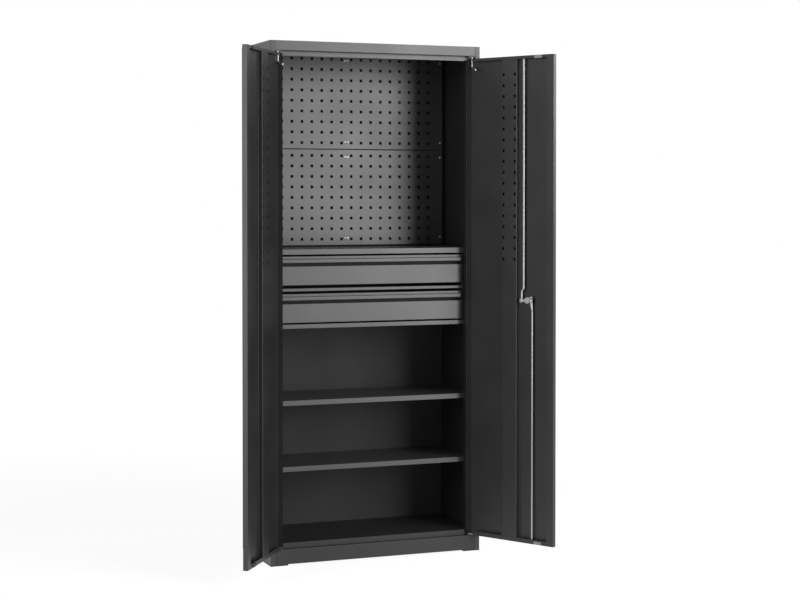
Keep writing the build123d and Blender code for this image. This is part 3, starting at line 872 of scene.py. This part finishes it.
@dataclass
class LockRod:
    """Rod with rolled, crowned faces: an eye on the cam's rivet and a bar that joggles sideways.

    `way` is 1 for a rod that runs up and -1 for one that runs down. `joggle_span` is how far
    from the rivet the joggle begins and ends. `tip` is a distance from the rod's end and a
    share of its full section.
    """

    name: str
    way: int
    joggle: float
    joggle_span: Pair
    neck_width: float
    bar_width: float
    thickness: float = 3.0
    eye_radius: float = 6.5
    bore_radius: float = 3.0
    edge_round: float = 0.6
    eye_facets: int = 36
    eye_overlap: float = 0.5
    joggle_steps: int = 12
    tip: tuple[Pair, ...] = ((1.2, 1.0), (0.4, 0.9), (0.0, 0.7))
    crown: float = 0.8
    facets: int = 28

    def build(self) -> None:
        """Put the rod where the plain one is."""
        pivot = joint(f"{self.name}_pivot")
        turn = Door(Side.RIGHT).swing.to_3x3().to_4x4()
        place = Matrix.Translation(Vector(pivot["pos_m"])) @ turn
        Piece(f"{self.name}_bar", pivot["child"], ROD_ZINC, "zinc", (self.name,)).make(
            self.shape(pivot["pos_m"][2]), [place]
        )

    def shape(self, pivot_height: float) -> Mesh:
        """Draw the rod about its pivot, across along X, into the cabinet along Y and up along Z.

        Args:
            pivot_height: Height of the pivot, in metres.

        Returns:
            The rod.
        """
        low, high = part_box(self.name)
        end = abs((high.z if self.way > 0 else low.z) - pivot_height) / MM
        start, stop = self.joggle_span
        steps = self.joggle_steps
        stations = [(self.bore_radius + self.eye_overlap, 0.0, 1.0)]
        stations += [(start + (stop - start) * n / steps, n / steps, 1.0) for n in range(steps + 1)]
        stations += [(end - back, 1.0, scale) for back, scale in self.tip]
        rod = Mesh()
        rings = []
        for reach, share, scale in stations:
            # The joggle starts and ends without a kink.
            eased = share * share * (3 - 2 * share)
            width = self.neck_width + (self.bar_width - self.neck_width) * eased
            rings.append(self.section(rod, reach, self.joggle * eased, width * scale, scale))
        for near, far in zip(rings, rings[1:]):
            for n in range(self.facets):
                after = (n + 1) % self.facets
                rod.shell.faces.new((near[n], near[after], far[after], far[n]))
        rod.shell.faces.new(rings[0])
        rod.shell.faces.new(rings[-1])
        rod.add(self.eye(), Matrix.Rotation(math.radians(90), 4, "X"))
        return rod

    def section(
        self, rod: Mesh, reach: float, shift: float, width: float, scale: float
    ) -> list[bmesh.types.BMVert]:
        """Add one crowned section.

        Args:
            rod: The rod under construction.
            reach: Distance from the pivot along the rod.
            shift: Distance sideways.
            width: Width of the section.
            scale: Share of the full thickness.

        Returns:
            The section's vertices in order.
        """
        # A crown of 1 gives an oval; the further below 1, the flatter the rod's faces.
        ring = []
        for n in range(self.facets):
            angle = 2 * math.pi * n / self.facets
            across, through = math.cos(angle), math.sin(angle)
            ring.append(rod.shell.verts.new((
                shift + width / 2 * math.copysign(abs(across) ** self.crown, across),
                self.thickness / 2 * scale * math.copysign(abs(through) ** self.crown, through),
                self.way * reach,
            )))
        return ring

    def eye(self) -> Mesh:
        """Draw the flat ring with rounded rims that turns on the rivet, about Z.

        Returns:
            The ring.
        """
        half, soft = self.thickness / 2, self.edge_round
        ring = Mesh()
        ring.turned([
            (self.bore_radius, -half), (self.eye_radius - soft, -half), (self.eye_radius, soft - half),
            (self.eye_radius, half - soft), (self.eye_radius - soft, half), (self.bore_radius, half),
            (self.bore_radius, -half),
        ], self.eye_facets)
        bmesh.ops.remove_doubles(ring.shell, verts=ring.shell.verts, dist=SEAM)
        return ring


@dataclass
class LockGear:
    """Turn handle, cam and the two rods inside the right door.

    `rivet_flank` is the share of a rivet's radius where its straight flank stands, from
    `rivet_foot` to `rivet_shoulder`, and `rivet_dome_shares` are shares of radius and height.
    """

    rivet_radius: float = 5.0
    rivet_dome: float = 1.1
    rivet_flank: float = 0.98
    rivet_foot: float = -0.2
    rivet_shoulder: float = 0.05
    rivet_dome_shares: tuple[Pair, ...] = ((0.9, 0.45), (0.7, 0.8), (0.4, 0.97), (0.0, 1.0))
    rivet_facets: int = 28
    cam_to_head: float = 5.0
    rods: tuple[LockRod, ...] = (
        LockRod(
            "upper_rod", way=1, joggle=-8.0, joggle_span=(31.0, 43.0), neck_width=8.0, bar_width=8.0
        ),
        LockRod(
            "lower_rod", way=-1, joggle=-4.5, joggle_span=(9.0, 38.0), neck_width=12.0, bar_width=6.0
        ),
    )

    def build(self) -> None:
        """Dress the lock, dome its rivets and roll its rods."""
        dress(("upper_rod", "lower_rod", "lock_cam", "lock_spindle"), ROD_ZINC)
        dress(("lock_housing", "key_cylinder"), ROD_ZINC)
        dress(("turn_handle",), GRIP_NYLON)
        self.rivets()
        for rod in self.rods:
            rod.build()

    def rivets(self) -> None:
        """Domes on the inner heads of the cam's rivets."""
        places = []
        for rod in self.rods:
            pivot = joint(f"{rod.name}_pivot")
            inward = -Vector(pivot["axis"])
            point = Vector(pivot["pos_m"]) + inward * self.cam_to_head * MM
            places.append(facing(point, inward))
        flank = self.rivet_radius * self.rivet_flank
        dome = Mesh()
        dome.turned([
            (0, self.rivet_foot), (flank, self.rivet_foot), (flank, self.rivet_shoulder),
            *scaled(self.rivet_dome_shares, self.rivet_radius, self.rivet_dome),
        ], self.rivet_facets)
        Piece("cam_rivet_domes", "lock", ROD_ZINC, "zinc").make(dome, places)


@dataclass(frozen=True)
class Softbox:
    """Rectangular studio lamp, with its middle and its width and height in metres."""

    name: str
    place: Triple
    size: Pair
    watts: float

    def build(self, target: Triple) -> None:
        """Put the lamp in the scene.

        Args:
            target: Point that it faces, in metres.
        """
        light = bpy.data.lights.new(self.name, "AREA")
        light.shape = "RECTANGLE"
        light.size, light.size_y = self.size
        light.energy = self.watts
        lamp = put_in_scene(self.name, light)
        lamp.location = self.place
        lamp.rotation_euler = (Vector(target) - Vector(self.place)).to_track_quat("-Z", "Y").to_euler()


@dataclass
class Studio:
    """Floor, white surroundings, lamps and the camera.

    Lengths are in metres, but the lens and the film's width are in millimetres, and `shift` is
    a share of that width. `floor_fade` is how far from the middle the floor's glow begins to
    grow and is full. `paper_bounce` is the floor's colour for the light that it throws on the
    cabinet, and `paper_shown` the one that shows under the glow and takes the shadow.
    """

    camera_place: Triple = (-2.1412, -5.8352, 1.2682)
    yaw: float = 21.455
    pitch: float = -1.2
    lens: float = 78.07
    film_width: float = 36.0
    shift: float = -0.0843
    ambient: float = 0.1
    floor_size: float = 14.0
    floor_glow: float = 0.9
    floor_fade: Pair = (1.5, 4.0)
    paper_bounce: str = "#a0a0a0"
    paper_shown: str = "#808080"
    lamps_aim: Triple = (0.0, -0.15, 0.9)
    lamps: tuple[Softbox, ...] = (
        Softbox("key_softbox", place=(2.1, -3.95, 1.7), size=(1.9, 3.0), watts=180.0),
        Softbox("left_softbox", place=(-3.45, -2.0, 1.45), size=(1.2, 2.9), watts=66.0),
        Softbox("right_softbox", place=(3.95, -0.35, 2.2), size=(1.2, 1.4), watts=42.0),
    )

    def build(self) -> None:
        """Set up everything that isn't part of the cabinet."""
        self.floor()
        self.surroundings()
        for lamp in self.lamps:
            lamp.build(self.lamps_aim)
        self.camera()
        bpy.context.scene.view_settings.view_transform = "Standard"

    def seen(self, tree: bpy.types.NodeTree) -> bpy.types.NodeSocket:
        """Add the test for rays that show a surface: from the camera, a reflection or through glass.

        Args:
            tree: Node tree of the surface.

        Returns:
            The test, 1 for such a ray and 0 for any other.
        """
        path = add_node(tree, "ShaderNodeLightPath")
        mirrored = add_node(tree, "ShaderNodeMath", {
            0: path.outputs["Is Camera Ray"], 1: path.outputs["Is Glossy Ray"],
        }, operation="MAXIMUM")
        through = add_node(tree, "ShaderNodeMath", {
            0: mirrored.outputs[0], 1: path.outputs["Is Transmission Ray"],
        }, operation="MAXIMUM")
        return through.outputs[0]

    def floor(self) -> None:
        """Pale studio floor that keeps the cabinet's shadow."""
        half = self.floor_size / 2
        mesh = bpy.data.meshes.new("studio_floor")
        rim = [(-half, -half, 0), (half, -half, 0), (half, half, 0), (-half, half, 0)]
        mesh.from_pydata(rim, [], [(0, 1, 2, 3)])
        floor = put_in_scene("studio_floor", mesh)
        made = bpy.data.materials.new("studio_paper")
        tree = empty_tree(made)
        paper = add_node(tree, "ShaderNodeBsdfDiffuse", {"Color": linear(self.paper_bounce)})
        place = add_node(tree, "ShaderNodeTexCoord").outputs["Object"]
        reach = add_node(tree, "ShaderNodeVectorMath", {0: place}, operation="LENGTH")
        strength = add_node(tree, "ShaderNodeMapRange", {
            "Value": reach.outputs["Value"],
            "From Min": self.floor_fade[0], "From Max": self.floor_fade[1],
            "To Min": self.floor_glow, "To Max": 1.0,
        })
        lit = add_node(tree, "ShaderNodeBsdfDiffuse", {"Color": linear(self.paper_shown)})
        glow = add_node(
            tree, "ShaderNodeEmission", {"Color": linear(WHITE), "Strength": strength.outputs[0]}
        )
        shown = add_node(tree, "ShaderNodeAddShader", {0: lit.outputs[0], 1: glow.outputs[0]})
        mix = add_node(
            tree, "ShaderNodeMixShader", {0: self.seen(tree), 1: paper.outputs[0], 2: shown.outputs[0]}
        )
        add_node(tree, "ShaderNodeOutputMaterial", {"Surface": mix.outputs[0]})
        mesh.materials.append(made)

    def surroundings(self) -> None:
        """Studio all round, which lights the cabinet softly and looks white."""
        world = bpy.data.worlds.new("studio")
        bpy.context.scene.world = world
        tree = empty_tree(world)
        dim = add_node(tree, "ShaderNodeBackground", {"Color": linear(WHITE), "Strength": self.ambient})
        white = add_node(tree, "ShaderNodeBackground", {"Color": linear(WHITE), "Strength": 1.0})
        mix = add_node(
            tree, "ShaderNodeMixShader", {0: self.seen(tree), 1: dim.outputs[0], 2: white.outputs[0]}
        )
        add_node(tree, "ShaderNodeOutputWorld", {"Surface": mix.outputs[0]})

    def camera(self) -> None:
        """Camera at the photograph's place, looking slightly down."""
        made = bpy.data.cameras.new("camera")
        made.lens = self.lens
        made.sensor_width = self.film_width
        made.shift_y = self.shift
        camera = put_in_scene("camera", made)
        camera.location = self.camera_place
        camera.rotation_euler = (math.radians(90 + self.pitch), 0, math.radians(-self.yaw))
        bpy.context.scene.camera = camera


def corners(bounds: tuple[Vector, Vector]) -> list[list[float]]:
    """A box's two corners as plain lists."""
    return [list(corner) for corner in bounds]


def main() -> None:
    """Build every sub-assembly in order."""
    logging.basicConfig(level=logging.INFO, format="%(name)s: %(message)s")
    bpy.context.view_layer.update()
    for part in (
        Studio(), Carcass(), PegWall(), Shelves(), DrawerUnit(),
        Door(Side.LEFT), Door(Side.RIGHT), LockGear(),
    ):
        part.build()
        log.info("%s is ready", type(part).__name__)


if __name__ == "__main__":
    main()
